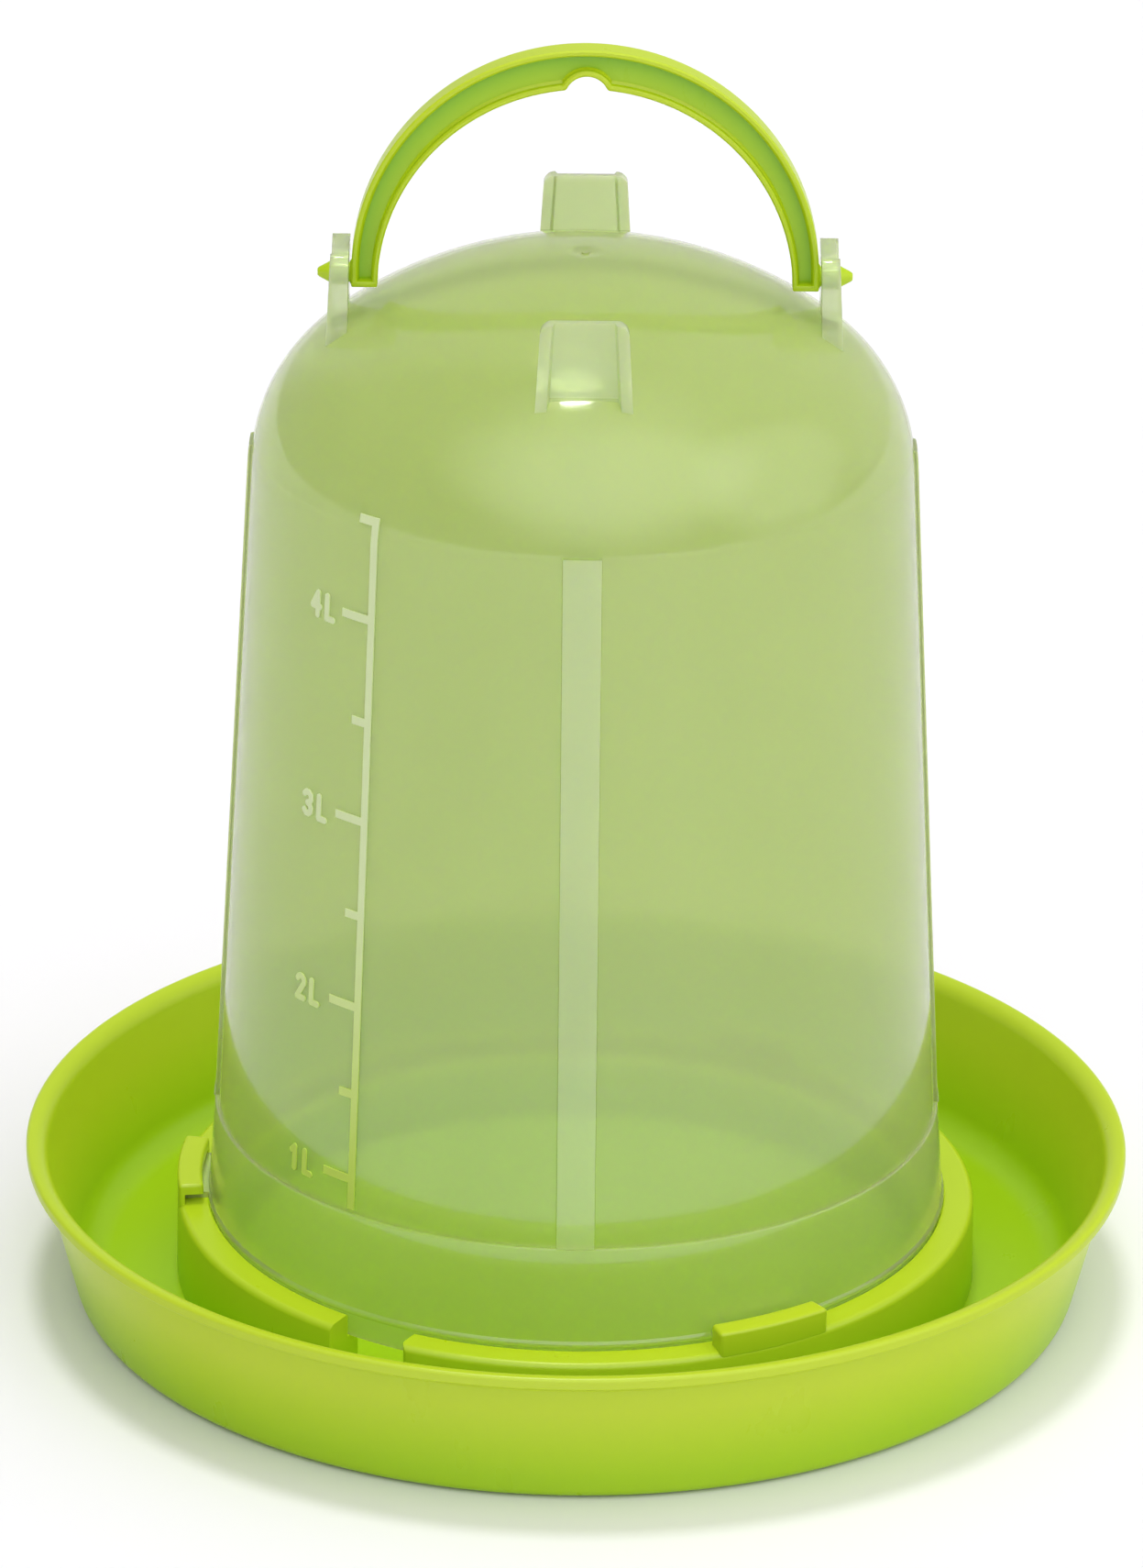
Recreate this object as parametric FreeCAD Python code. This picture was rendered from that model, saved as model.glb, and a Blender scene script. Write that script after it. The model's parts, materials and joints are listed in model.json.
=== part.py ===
import FreeCAD, Part
import math
import os
from FreeCAD import Vector

# Poultry waterer fount: a bell-shaped tank that stands open end down in a drinking tray, with a carrying bail.
# Frame: origin at the centre of the tray's underside, +Z up, front of the object towards -Y. Millimetres, degrees.
# Azimuths run counter-clockwise from +X, seen from above.

# Tray: one moulding with a flared wall, a rolled lip and a collar ring that locates the tank
TRAY_BASE_R = 124.0      # outer wall, extended down to the ground
TRAY_LEAN = 0.25         # outward lean of the wall, mm per mm of height
TRAY_H = 37.6
TRAY_T = 2.0
TRAY_HEEL_FILLET = 4.0   # outside, under the wall
TRAY_TROUGH_FILLET = 9.0  # inside, floor to wall
LIP_R = 136.0
LIP_EDGE_Z = 34.9        # lower edge of the lip
LIP_ROOT_Z = 33.0        # where the wall turns out into the lip
LIP_CREST_FILLET = 4.5
FLOOR_SPLIT_R = 112.0    # the floor's flat disc ends here and the wall's fillet begins outside it

# Collar ring: a hollow inverted channel with a ledge for the tank's skirt and one water outlet gap
COLLAR_OUT_R = 99.2
COLLAR_TOP_Z = 22.5
COLLAR_SEAT_R = 91.4     # side of the seat
COLLAR_LEDGE_Z = 16.6
COLLAR_IN_R = 86.9
COLLAR_DRAFT = 0.4       # the outer face is this much narrower at the top
COLLAR_EDGE_FILLET = 1.2
OUTLET_START, OUTLET_END = 234.0, 245.0
OUTLET_CORNER_NEAR, OUTLET_CORNER_FAR = 1.2, 3.0   # corner radii of the two ends of the ring

# Bayonet catches: roofed pockets on the collar, open towards increasing azimuth, where the lugs go in
CATCH_CENTRES = {"left": 179.65, "front": 299.15, "back": 59.4}
CATCH_SPAN = 17.2
CATCH_IN_R, CATCH_OUT_R = 92.7, 98.8
CATCH_H = 5.2
CATCH_ROOF = 2.7
CATCH_SIDE = 1.4
CATCH_EDGE_FILLET = 0.7

# Tank: a bell with a skirt, a tapered wall, a rounded shoulder and a shallow crown
TANK_T = 1.6
SKIRT_BOTTOM_Z = 16.9
SKIRT_R = 90.9
STEP_Z = 48.0            # the skirt ends in a small step that is flush with the ribs
STEP_R = 89.25
WALL_FOOT_R = 88.45      # wall, just above the step
SHOULDER_R = 40.9
SHOULDER_CENTRE = (38.4, 212.15)   # radius and height
CROWN_R = 104.1
RIB_W, RIB_H, RIB_TOP_Z = 8.8, 0.8, 218.5
RIB_AZIMUTHS = {"right": 0.0, "back": 90.0, "left": 180.0, "front": 270.0}
GATE_DIMPLE_R, GATE_DIMPLE_DEPTH = 25.0, 0.6
GATE_NUB_R, GATE_NUB_H = 0.9, 0.5

# Bayonet lugs on the tank
LUG_SPAN = 14.0
LUG_OUT_R = 97.0
LUG_Z = (22.8, 24.4)

# Upstands on the dome, all one height so that the tank also stands upside down for filling.
# Each level: inner face, web's outer face and flange's outer face from the axis, then half the width.
UPSTAND_TOP_Z, UPSTAND_ROOT_Z = 267.3, 242.0
UPSTAND_CORNER = 2.6
FLANGE_T = 2.6
FOOT_TOP = (54.0, 56.0, 57.8, 10.1)
FOOT_ROOT = (55.2, 57.6, 59.9, 11.6)
EAR_TOP = (55.6, 59.2, 59.9, 10.1)
EAR_ROOT = (56.1, 60.0, 61.2, 11.6)

# Bail handle: an I-section arch on two snap pins
PIVOT_Z = 260.4
BORE_R = 2.40            # hole in each ear
PIN_R = 2.33
BAIL_OUT_R, BAIL_OUT_Z = 55.2, 261.0     # outer arc and its centre height
BAIL_IN_R, BAIL_IN_Z = 49.0, 257.7       # inner arc: lower centre, so the top is deeper than the legs
BAIL_OUT_T, BAIL_IN_T, BAIL_WEB_T = 1.5, 1.3, 1.6
BAIL_W = 6.8
BAIL_END_Z = 257.6
BAIL_EDGE_FILLET = 0.45
NOTCH_R, NOTCH_Z = 5.2, 304.6            # seat for a hanging hook, under the top of the arch
STUB_R, STUB_X = 2.55, 55.25
HEAD_X, TIP_X = 59.8, 63.2
HEAD_R, TIP_R = 2.7, 1.0

# Litre scale, raised on the wall at the front left
SCALE_H = 0.3
SCALE_AZ = 232.7
BAR_W, BAR_Z = 1.9, (49.0, 221.7)
TICK_T = 2.0
TICK_FULL, TICK_HALF = 9.0, 4.8
FIRST_MARK_Z = 56.6
HALF_LITRE = 0.5e6
MARKS = 8
LABEL_AZ = 221.4
LABEL_H, LABEL_STROKE = 6.9, 1.5
GLYPH_PITCH = 4.9

REACH = 400.0            # longer than the object, for cutting shapes


def at(azimuth, shape):
    turned_shape = shape.copy()
    turned_shape.rotate(Vector(0, 0, 0), Vector(0, 0, 1), azimuth)
    return turned_shape


def rounded_section(points):
    """Face in the radius-height plane from (radius, height, corner fillet) points."""
    corners = [Vector(r, 0, z) for r, z, _ in points]
    runs, edges = [], []
    for i, (corner, (_, _, fillet)) in enumerate(zip(corners, points)):
        if not fillet:
            runs.append((corner, corner))
            continue
        back = (corners[i - 1] - corner).normalize()
        ahead = (corners[(i + 1) % len(corners)] - corner).normalize()
        half = back.getAngle(ahead) / 2
        reach = fillet / math.tan(half)
        inward = (back + ahead).normalize()
        middle = corner + inward * (fillet / math.sin(half) - fillet)
        start, end = corner + back * reach, corner + ahead * reach
        edges.append(Part.Arc(start, middle, end).toShape())
        runs.append((start, end))
    for i, (start, _) in enumerate(runs):
        leaving = runs[i - 1][1]
        if leaving.distanceToPoint(start) > 1e-6:
            edges.append(Part.makeLine(leaving, start))
    return Part.Face(Part.Wire(Part.__sortEdges__(edges)))


def turned(face, start=0.0, sweep=360.0):
    return at(start, face.revolve(Vector(0, 0, 0), Vector(0, 0, 1), sweep))


def ring_sector(r_in, r_out, z_low, z_high, start=0.0, end=360.0):
    section = rounded_section([(r_in, z_low, 0), (r_out, z_low, 0), (r_out, z_high, 0), (r_in, z_high, 0)])
    return turned(section, start, end - start)


def block(x_range, y_range, z_range):
    corner = Vector(x_range[0], y_range[0], z_range[0])
    return Part.makeBox(x_range[1] - x_range[0], y_range[1] - y_range[0], z_range[1] - z_range[0], corner)


def layer(z_low, z_high):
    return block((-REACH, REACH), (-REACH, REACH), (z_low, z_high))


def tray_bowl():
    wall_r = TRAY_BASE_R - TRAY_T * math.hypot(1, TRAY_LEAN)
    return turned(rounded_section([
        (0, 0, 0),
        (TRAY_BASE_R, 0, TRAY_HEEL_FILLET),
        (TRAY_BASE_R + TRAY_LEAN * LIP_ROOT_Z, LIP_ROOT_Z, 1.6),
        (LIP_R, LIP_EDGE_Z, 0.6),
        (LIP_R, TRAY_H, 1.1),
        (wall_r + TRAY_LEAN * TRAY_H, TRAY_H, LIP_CREST_FILLET),
        (wall_r + TRAY_LEAN * TRAY_T, TRAY_T, TRAY_TROUGH_FILLET),
        (0, TRAY_T, 0)]))


def outlet_half_width():
    return COLLAR_OUT_R * math.sin(math.radians(OUTLET_END - OUTLET_START) / 2)


def outlet_cutter():
    """Prism through the collar, as wide as the water outlet and flared at the ring's two outer corners."""
    half, flare = outlet_half_width(), 10.0
    mouth = math.sqrt(COLLAR_OUT_R ** 2 - half ** 2)
    flare_r = mouth - flare * half / COLLAR_OUT_R
    side = half + flare * mouth / COLLAR_OUT_R
    face = rounded_section([
        (0, -half, 0), (mouth, -half, OUTLET_CORNER_NEAR), (flare_r, -side, 0), (LIP_R, -side, 0),
        (LIP_R, side, 0), (flare_r, side, 0), (mouth, half, OUTLET_CORNER_FAR), (0, half, 0)])
    face.rotate(Vector(0, 0, 0), Vector(1, 0, 0), -90)
    prism = face.extrude(Vector(0, 0, REACH))
    return at((OUTLET_START + OUTLET_END) / 2, prism)


def collar_groove():
    """Hollow under the collar, stopped short of the outlet gap so that the ring's ends stay closed."""
    gap = math.degrees(math.asin((outlet_half_width() + TRAY_T) / COLLAR_IN_R))
    middle = (OUTLET_START + OUTLET_END) / 2
    start, end = middle + gap, middle + 360 - gap
    outer = COLLAR_OUT_R - COLLAR_DRAFT - TRAY_T
    ledge_hollow = ring_sector(COLLAR_IN_R + TRAY_T, outer, -1, COLLAR_LEDGE_Z - TRAY_T, start, end)
    rim_hollow = ring_sector(COLLAR_SEAT_R + TRAY_T, outer, -1, COLLAR_TOP_Z - TRAY_T, start, end)
    return ledge_hollow.fuse(rim_hollow)


def collar():
    ring = turned(rounded_section([
        (COLLAR_IN_R, TRAY_T, 0),
        (COLLAR_OUT_R, TRAY_T, 0),
        (COLLAR_OUT_R - COLLAR_DRAFT, COLLAR_TOP_Z, COLLAR_EDGE_FILLET),
        (COLLAR_SEAT_R, COLLAR_TOP_Z, 0),
        (COLLAR_SEAT_R, COLLAR_LEDGE_Z, 0),
        (COLLAR_IN_R, COLLAR_LEDGE_Z, 0)]))
    return ring.cut(outlet_cutter()).cut(collar_groove())


def catch(centre):
    start, end = centre - CATCH_SPAN / 2, centre + CATCH_SPAN / 2
    top = COLLAR_TOP_Z + CATCH_H
    section = rounded_section([
        (CATCH_IN_R, COLLAR_TOP_Z, 0),
        (CATCH_OUT_R, COLLAR_TOP_Z, 0),
        (CATCH_OUT_R, top, CATCH_EDGE_FILLET),
        (CATCH_IN_R, top, CATCH_EDGE_FILLET)])
    body = turned(section, start, CATCH_SPAN)
    end_wall = math.degrees(CATCH_SIDE / CATCH_OUT_R) * 1.6
    pocket = ring_sector(CATCH_IN_R - 1, CATCH_OUT_R - CATCH_SIDE, COLLAR_TOP_Z - 1, top - CATCH_ROOF,
                         start + end_wall, end + 1)
    return body.cut(pocket)


def tangent_point(point, centre, radius):
    """Where the line from a point below touches the right-hand side of a circle in the section plane."""
    dr, dz = point[0] - centre[0], point[1] - centre[1]
    angle = math.atan2(dz, dr) + math.acos(radius / math.hypot(dr, dz))
    return centre[0] + radius * math.cos(angle), centre[1] + radius * math.sin(angle), angle


def section_arc(centre, radius, start, end):
    points = [Vector(centre[0] + radius * math.cos(a), 0, centre[1] + radius * math.sin(a))
              for a in (start, (start + end) / 2, end)]
    return Part.Arc(*points).toShape()


def crown_centre():
    rise = math.sqrt((CROWN_R - SHOULDER_R) ** 2 - SHOULDER_CENTRE[0] ** 2)
    return 0.0, SHOULDER_CENTRE[1] - rise


def bell(offset):
    """Solid bell whose outside is the tank's outer surface moved outwards by the offset."""
    foot = (WALL_FOOT_R + offset, STEP_Z)
    touch_r, touch_z, touch = tangent_point(foot, SHOULDER_CENTRE, SHOULDER_R + offset)
    crown = crown_centre()
    blend = math.atan2(SHOULDER_CENTRE[1] - crown[1], SHOULDER_CENTRE[0])
    apex_z = crown[1] + CROWN_R + offset
    corners = [(0, SKIRT_BOTTOM_Z), (SKIRT_R + offset, SKIRT_BOTTOM_Z), (SKIRT_R + offset, COLLAR_TOP_Z),
               (STEP_R + offset, STEP_Z), foot, (touch_r, touch_z)]
    vectors = [Vector(r, 0, z) for r, z in corners]
    edges = [Part.makeLine(a, b) for a, b in zip(vectors, vectors[1:])]
    edges.append(section_arc(SHOULDER_CENTRE, SHOULDER_R + offset, touch, blend))
    edges.append(section_arc(crown, CROWN_R + offset, blend, math.pi / 2))
    edges.append(Part.makeLine(Vector(0, 0, apex_z), vectors[0]))
    return turned(Part.Face(Part.Wire(edges)))


def shoulder_start_z():
    return tangent_point((WALL_FOOT_R, STEP_Z), SHOULDER_CENTRE, SHOULDER_R)[1]


def tank_dome(shell):
    apex_z = crown_centre()[1] + CROWN_R
    dimple = Part.makeSphere(GATE_DIMPLE_R, Vector(0, 0, apex_z - GATE_DIMPLE_DEPTH + GATE_DIMPLE_R))
    nub = Part.makeCylinder(GATE_NUB_R, GATE_NUB_H + GATE_DIMPLE_DEPTH, Vector(0, 0, apex_z - 2 * GATE_DIMPLE_DEPTH))
    return shell.common(layer(shoulder_start_z(), REACH)).cut(dimple).fuse(nub).removeSplitter()


def rib(azimuth, outer):
    bar = block((0, REACH), (-RIB_W / 2, RIB_W / 2), (STEP_Z, RIB_TOP_Z))
    return bell(RIB_H).common(at(azimuth, bar)).cut(outer)


def lug(centre, outer):
    plate = ring_sector(SKIRT_R - 3, LUG_OUT_R, *LUG_Z, centre - LUG_SPAN / 2, centre + LUG_SPAN / 2)
    return plate.cut(outer)


def channel_outline(level, z):
    inner, web, flange, half = level
    step = half - FLANGE_T
    outline = [(inner, -half), (flange, -half), (flange, -step), (web, -step),
               (web, step), (flange, step), (flange, half), (inner, half)]
    vectors = [Vector(x, y, z) for x, y in outline]
    return Part.makePolygon(vectors + vectors[:1])


def upstand(azimuth, top, root, outer):
    """Channel-shaped tab that rises from the dome, with rounded top corners, open side outwards."""
    channel = Part.makeLoft([channel_outline(root, UPSTAND_ROOT_Z), channel_outline(top, UPSTAND_TOP_Z)], True, True)
    width = top[3] + (root[3] - top[3]) * UPSTAND_CORNER / (UPSTAND_TOP_Z - UPSTAND_ROOT_Z)
    side = root[3] + 1
    face = rounded_section([(side, UPSTAND_ROOT_Z - 1, 0), (width, UPSTAND_TOP_Z, UPSTAND_CORNER),
                            (-width, UPSTAND_TOP_Z, UPSTAND_CORNER), (-side, UPSTAND_ROOT_Z - 1, 0)])
    trim = at(90, face.extrude(Vector(0, -REACH, 0)))
    return at(azimuth, channel.common(trim)).cut(outer)


def ear(azimuth, outer):
    bore = at(azimuth, Part.makeCylinder(BORE_R, REACH, Vector(0, 0, PIVOT_Z), Vector(1, 0, 0)))
    return upstand(azimuth, EAR_TOP, EAR_ROOT, outer).cut(bore)


def arch(radius, centre_z, bottom_z, width):
    """Solid arch shape: a half disc with straight sides down to bottom_z, centred on the XZ plane."""
    top = Part.Arc(Vector(radius, 0, centre_z), Vector(0, 0, centre_z + radius), Vector(-radius, 0, centre_z))
    ends = [Vector(-radius, 0, centre_z), Vector(-radius, 0, bottom_z),
            Vector(radius, 0, bottom_z), Vector(radius, 0, centre_z)]
    edges = [top.toShape()] + [Part.makeLine(a, b) for a, b in zip(ends, ends[1:])]
    solid = Part.Face(Part.Wire(edges)).extrude(Vector(0, width, 0))
    solid.translate(Vector(0, -width / 2, 0))
    return solid


def notch_disc(radius, width):
    return Part.makeCylinder(radius, width, Vector(0, -width / 2, NOTCH_Z), Vector(0, 1, 0))


def bail_outer_flange():
    inside_z = BAIL_END_Z + BAIL_OUT_T
    flange = arch(BAIL_OUT_R, BAIL_OUT_Z, BAIL_END_Z, BAIL_W)
    rim = [e for e in flange.Edges if e.BoundBox.YLength < 1e-6 and e.BoundBox.ZMax > inside_z]
    flange = flange.makeFillet(BAIL_EDGE_FILLET, rim)
    flange = flange.cut(arch(BAIL_OUT_R - BAIL_OUT_T, BAIL_OUT_Z, inside_z, REACH))
    return flange.cut(arch(BAIL_IN_R, BAIL_IN_Z, 0, REACH))


def bail_inner_flange():
    band = arch(BAIL_IN_R + BAIL_IN_T, BAIL_IN_Z, 0, BAIL_W).fuse(notch_disc(NOTCH_R + BAIL_IN_T, BAIL_W))
    band = band.cut(arch(BAIL_IN_R, BAIL_IN_Z, -1, REACH)).cut(notch_disc(NOTCH_R, REACH))
    return band.common(layer(BAIL_END_Z + BAIL_OUT_T, REACH)).removeSplitter()


def bail_web():
    web = arch(BAIL_OUT_R - BAIL_OUT_T, BAIL_OUT_Z, BAIL_END_Z + BAIL_OUT_T, BAIL_WEB_T)
    web = web.cut(arch(BAIL_IN_R + BAIL_IN_T, BAIL_IN_Z, 0, REACH))
    return web.cut(notch_disc(NOTCH_R + BAIL_IN_T, REACH))


def pivot_pin(azimuth):
    axis, height = Vector(1, 0, 0), EAR_TOP[0] - STUB_X
    stub = Part.makeCylinder(STUB_R, height - 0.05, Vector(STUB_X, 0, PIVOT_Z), axis)
    shaft = Part.makeCylinder(PIN_R, HEAD_X - STUB_X, Vector(STUB_X, 0, PIVOT_Z), axis)
    head = Part.makeCone(HEAD_R, TIP_R, TIP_X - HEAD_X, Vector(HEAD_X, 0, PIVOT_Z), axis)
    return at(azimuth, stub.fuse(shaft).fuse(head).removeSplitter())


def mark_heights():
    """Heights of the half-litre marks, from the volume of the tapered wall above the first litre mark."""
    touch_r, touch_z, _ = tangent_point((WALL_FOOT_R, STEP_Z), SHOULDER_CENTRE, SHOULDER_R)
    taper = (WALL_FOOT_R - touch_r) / (touch_z - STEP_Z)
    first_r = WALL_FOOT_R - TANK_T - taper * (FIRST_MARK_Z - STEP_Z)
    heights = []
    for step in range(MARKS - 1):
        r = (first_r ** 3 - 3 * taper * HALF_LITRE * step / math.pi) ** (1 / 3)
        heights.append(FIRST_MARK_Z + (first_r - r) / taper)
    return heights + [BAR_Z[1] - TICK_T / 2]


def raised(shapes, outer):
    """Keeps only the thin part of the shapes that stands proud of the tank's wall."""
    return bell(SCALE_H).common(shapes).cut(outer)


def scale_graduations(outer):
    half = BAR_W / 2
    shapes = block((0, REACH), (-half, half), BAR_Z)
    for step, z in enumerate(mark_heights()):
        length = TICK_HALF if step % 2 or step == MARKS - 1 else TICK_FULL
        shapes = shapes.fuse(block((0, REACH), (half - length - half, half), (z - TICK_T / 2, z + TICK_T / 2)))
    return raised(at(SCALE_AZ, shapes), outer)


def stroke(points):
    """Bold pen line through (across, up) points, on a plane at right angles to X, with round ends."""
    pen, shapes = LABEL_STROKE / 2, []
    for across, up in points:
        shapes.append(Part.makeCylinder(pen, REACH, Vector(0, across, up), Vector(1, 0, 0)))
    for (y0, z0), (y1, z1) in zip(points, points[1:]):
        length = math.hypot(y1 - y0, z1 - z0)
        bar = block((0, REACH), (0, length), (-pen, pen))
        bar.rotate(Vector(0, 0, 0), Vector(1, 0, 0), math.degrees(math.atan2(z1 - z0, y1 - y0)))
        bar.translate(Vector(0, y0, z0))
        shapes.append(bar)
    return shapes[0].fuse(shapes[1:])


def bow(centre, radius, start, end, steps=6):
    angles = [math.radians(start + (end - start) * i / steps) for i in range(steps + 1)]
    return [(centre[0] + radius * math.cos(a), centre[1] + radius * math.sin(a)) for a in angles]


def glyph(character):
    """Pen lines of one character, centred on (0, 0)."""
    top = (LABEL_H - LABEL_STROKE) / 2
    side, loop = 1.25, top / 2
    lines = {
        "1": [[(-0.8, top - 1.1), (0.3, top), (0.3, -top)]],
        "2": [bow((0, top - side), side, 160, -25) + [(-side, -top), (side, -top)]],
        "3": [bow((-0.2, loop), loop, 150, -90), bow((-0.2, -loop), loop, 90, -150)],
        "4": [[(0.7, -top), (0.7, top), (-side, -0.7), (side + 0.2, -0.7)]],
        "L": [[(-0.9, top), (-0.9, -top), (side, -top)]]}[character]
    shapes = [stroke(line) for line in lines]
    return shapes[0].fuse(shapes[1:]) if shapes[1:] else shapes[0]


def scale_numerals(outer):
    shapes = []
    for litres, z in enumerate(mark_heights()[::2], start=1):
        for character, place in ((str(litres), -0.5), ("L", 0.5)):
            letter = glyph(character)
            letter.translate(Vector(0, place * GLYPH_PITCH, z - 0.4))
            shapes.append(at(LABEL_AZ, letter))
    return raised(Part.makeCompound(shapes), outer)


def build():
    bowl = tray_bowl()
    outer = bell(0)
    shell = outer.cut(bell(-TANK_T))
    flat = ring_sector(0, FLOOR_SPLIT_R, -1, TRAY_T + 1)
    flared = ring_sector(FLOOR_SPLIT_R, LIP_R + 1, -1, LIP_ROOT_Z)
    nodes = {
        "tray_floor": bowl.common(flat).cut(collar_groove()),
        "tray_wall": bowl.common(flared),
        "tray_lip": bowl.common(layer(LIP_ROOT_Z, REACH)),
        "tray_collar": collar(),
        "tank_skirt": shell.common(layer(0, STEP_Z)),
        "tank_wall": shell.common(layer(STEP_Z, shoulder_start_z())),
        "tank_dome": tank_dome(shell),
        "tank_foot_front": upstand(270, FOOT_TOP, FOOT_ROOT, outer),
        "tank_foot_back": upstand(90, FOOT_TOP, FOOT_ROOT, outer),
        "tank_ear_left": ear(180, outer),
        "tank_ear_right": ear(0, outer),
        "scale_graduations": scale_graduations(outer),
        "scale_numerals": scale_numerals(outer),
        "bail_outer_flange": bail_outer_flange(),
        "bail_inner_flange": bail_inner_flange(),
        "bail_web": bail_web(),
        "bail_pin_left": pivot_pin(180),
        "bail_pin_right": pivot_pin(0)}
    for side, centre in CATCH_CENTRES.items():
        nodes["bayonet_catch_" + side] = catch(centre)
        nodes["bayonet_lug_" + side] = lug(centre, outer)
    for side, azimuth in RIB_AZIMUTHS.items():
        nodes["tank_rib_" + side] = rib(azimuth, outer)
    return nodes


os.makedirs("parts", exist_ok=True)
for name, shape in build().items():
    shape.exportStep("parts/" + name + ".step")
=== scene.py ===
import json
import math

import bmesh
import bpy
from mathutils import Matrix, Vector


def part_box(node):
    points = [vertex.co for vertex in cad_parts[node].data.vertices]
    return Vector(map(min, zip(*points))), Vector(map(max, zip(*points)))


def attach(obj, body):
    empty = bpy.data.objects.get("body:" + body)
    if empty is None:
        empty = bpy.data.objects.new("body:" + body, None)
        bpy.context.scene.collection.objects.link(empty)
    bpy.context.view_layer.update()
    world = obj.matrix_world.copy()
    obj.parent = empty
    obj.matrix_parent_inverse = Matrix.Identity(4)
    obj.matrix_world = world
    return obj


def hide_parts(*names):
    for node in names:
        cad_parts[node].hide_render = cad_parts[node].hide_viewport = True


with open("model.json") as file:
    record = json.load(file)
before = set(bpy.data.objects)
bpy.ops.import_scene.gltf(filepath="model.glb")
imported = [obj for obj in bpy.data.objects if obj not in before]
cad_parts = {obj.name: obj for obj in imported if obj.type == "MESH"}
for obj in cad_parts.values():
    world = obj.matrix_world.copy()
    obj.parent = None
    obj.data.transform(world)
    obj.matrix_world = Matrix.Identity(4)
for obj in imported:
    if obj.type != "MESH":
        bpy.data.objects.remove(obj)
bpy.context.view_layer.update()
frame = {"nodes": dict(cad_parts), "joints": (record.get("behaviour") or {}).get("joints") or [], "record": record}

# Looks of the poultry waterer fount: glossy lime tray and bail, milky translucent tank with a raised litre scale.
# Lengths below are millimetres on the object and become metres as they enter a mesh. Azimuths run counter-clockwise
# from +X. The front of the object faces -Y.
MM = 0.001


def reach(node, axis, side):
    """Lowest (0) or highest (1) place of a CAD node along an axis, in millimetres."""
    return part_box(node)[side][axis] / MM


# Tray
LIP_R = 136.0
TRAY_H = reach("tray_lip", 2, 1)
TRAY_T = reach("tray_floor", 2, 1)
TRAY_BASE_R, TRAY_LEAN = 124.0, 0.25
LIP_EDGE_Z, LIP_ROOT_Z = 34.9, reach("tray_wall", 2, 1)
COLLAR_TOP_Z = reach("tray_collar", 2, 1)
COLLAR_OUT_R, COLLAR_IN_R, COLLAR_SEAT_R = 99.2, 86.9, 91.4
COLLAR_LEDGE_Z, COLLAR_DRAFT = 16.6, 0.4
OUTLET_START, OUTLET_END, OUTLET_FLARE = 234.0, 245.0, 10.0
CATCH_CENTRES = (59.4, 179.65, 299.15)
CATCH_SPAN, CATCH_IN_R, CATCH_OUT_R, CATCH_SIDE, CATCH_ROOF = 17.2, 92.7, 98.8, 1.4, 2.7
# How deep a catch's block is sunk in the collar, its edge round, and its end wall as a multiple of its side wall
CATCH_SUNK, CATCH_ROUND, CATCH_END = 1.5, 0.9, 1.6
CATCH_TOP_Z = reach("bayonet_catch_left", 2, 1)

# Tank
TANK_T = 1.6
SKIRT_BOTTOM_Z = reach("tank_skirt", 2, 0)
SKIRT_R, STEP_Z, STEP_R, WALL_FOOT_R = 90.9, reach("tank_wall", 2, 0), 89.25, 88.45
SHOULDER_R, SHOULDER_CENTRE, CROWN_R = 40.9, (38.4, 212.15), 104.1
CROWN_CENTRE_Z = SHOULDER_CENTRE[1] - math.sqrt((CROWN_R - SHOULDER_R) ** 2 - SHOULDER_CENTRE[0] ** 2)
STEP_EDGE, BEAD_H, BEAD_Z = 0.5, 0.6, (COLLAR_TOP_Z + 0.1, COLLAR_TOP_Z + 2.1)
RIB_W, RIB_H, RIB_EDGE, RIB_TOP_Z = 8.8, 0.8, 0.25, reach("tank_rib_front", 2, 1)
DIMPLE_R, DIMPLE_DEPTH, NUB_R, NUB_H = 5.0, 0.55, 0.9, 0.45
LUG_SPAN, LUG_OUT_R = 14.0, 97.0
LUG_Z = (reach("bayonet_lug_left", 2, 0), reach("bayonet_lug_left", 2, 1))
UPSTAND_TOP_Z, UPSTAND_ROOT_Z = reach("tank_foot_front", 2, 1), 242.0
UPSTAND_CORNER, UPSTAND_ROUND, FLANGE_T, FLANGE_LEAN = 2.6, 0.35, 2.6, 0.6
# Inner face, web face, flange face (distances from the axis) and half width, at the top and at the root
FOOT_TOP, FOOT_ROOT = (54.0, 56.0, 57.8, 10.1), (55.2, 57.6, 59.9, 11.6)
EAR_TOP, EAR_ROOT = (55.6, 59.2, 59.9, 10.1), (56.1, 60.0, 61.2, 11.6)
PIVOT_Z, BORE_R = frame["joints"][1]["pos_m"][2] / MM, 2.40

# Bail
BAIL_OUT_R, BAIL_OUT_Z = 55.2, 261.0
BAIL_IN_R, BAIL_IN_Z = 49.0, 257.7
BAIL_OUT_T, BAIL_IN_T, BAIL_WEB_T = 1.5, 1.3, 1.6
BAIL_W, BAIL_ROUND, BAIL_END_Z = 6.8, 0.4, reach("bail_outer_flange", 2, 0)
NOTCH_R, NOTCH_Z = 5.2, 304.6
# Stations along the arch, in degrees from its top: the step near the notch, where that ends, and the count beyond
NOTCH_STEP, NOTCH_END, ARCH_STATIONS = 0.55, 8.0, 36

# Camera of the studio picture
CAMERA_DISTANCE, CAMERA_ELEVATION = 1782.2, 0.39322
CAMERA_AIM = (-2.0, 0.0, 130.0)
CAMERA_ROLL, CAMERA_LENS, CAMERA_SENSOR = 0.010, 168.42, 36.0

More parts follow.
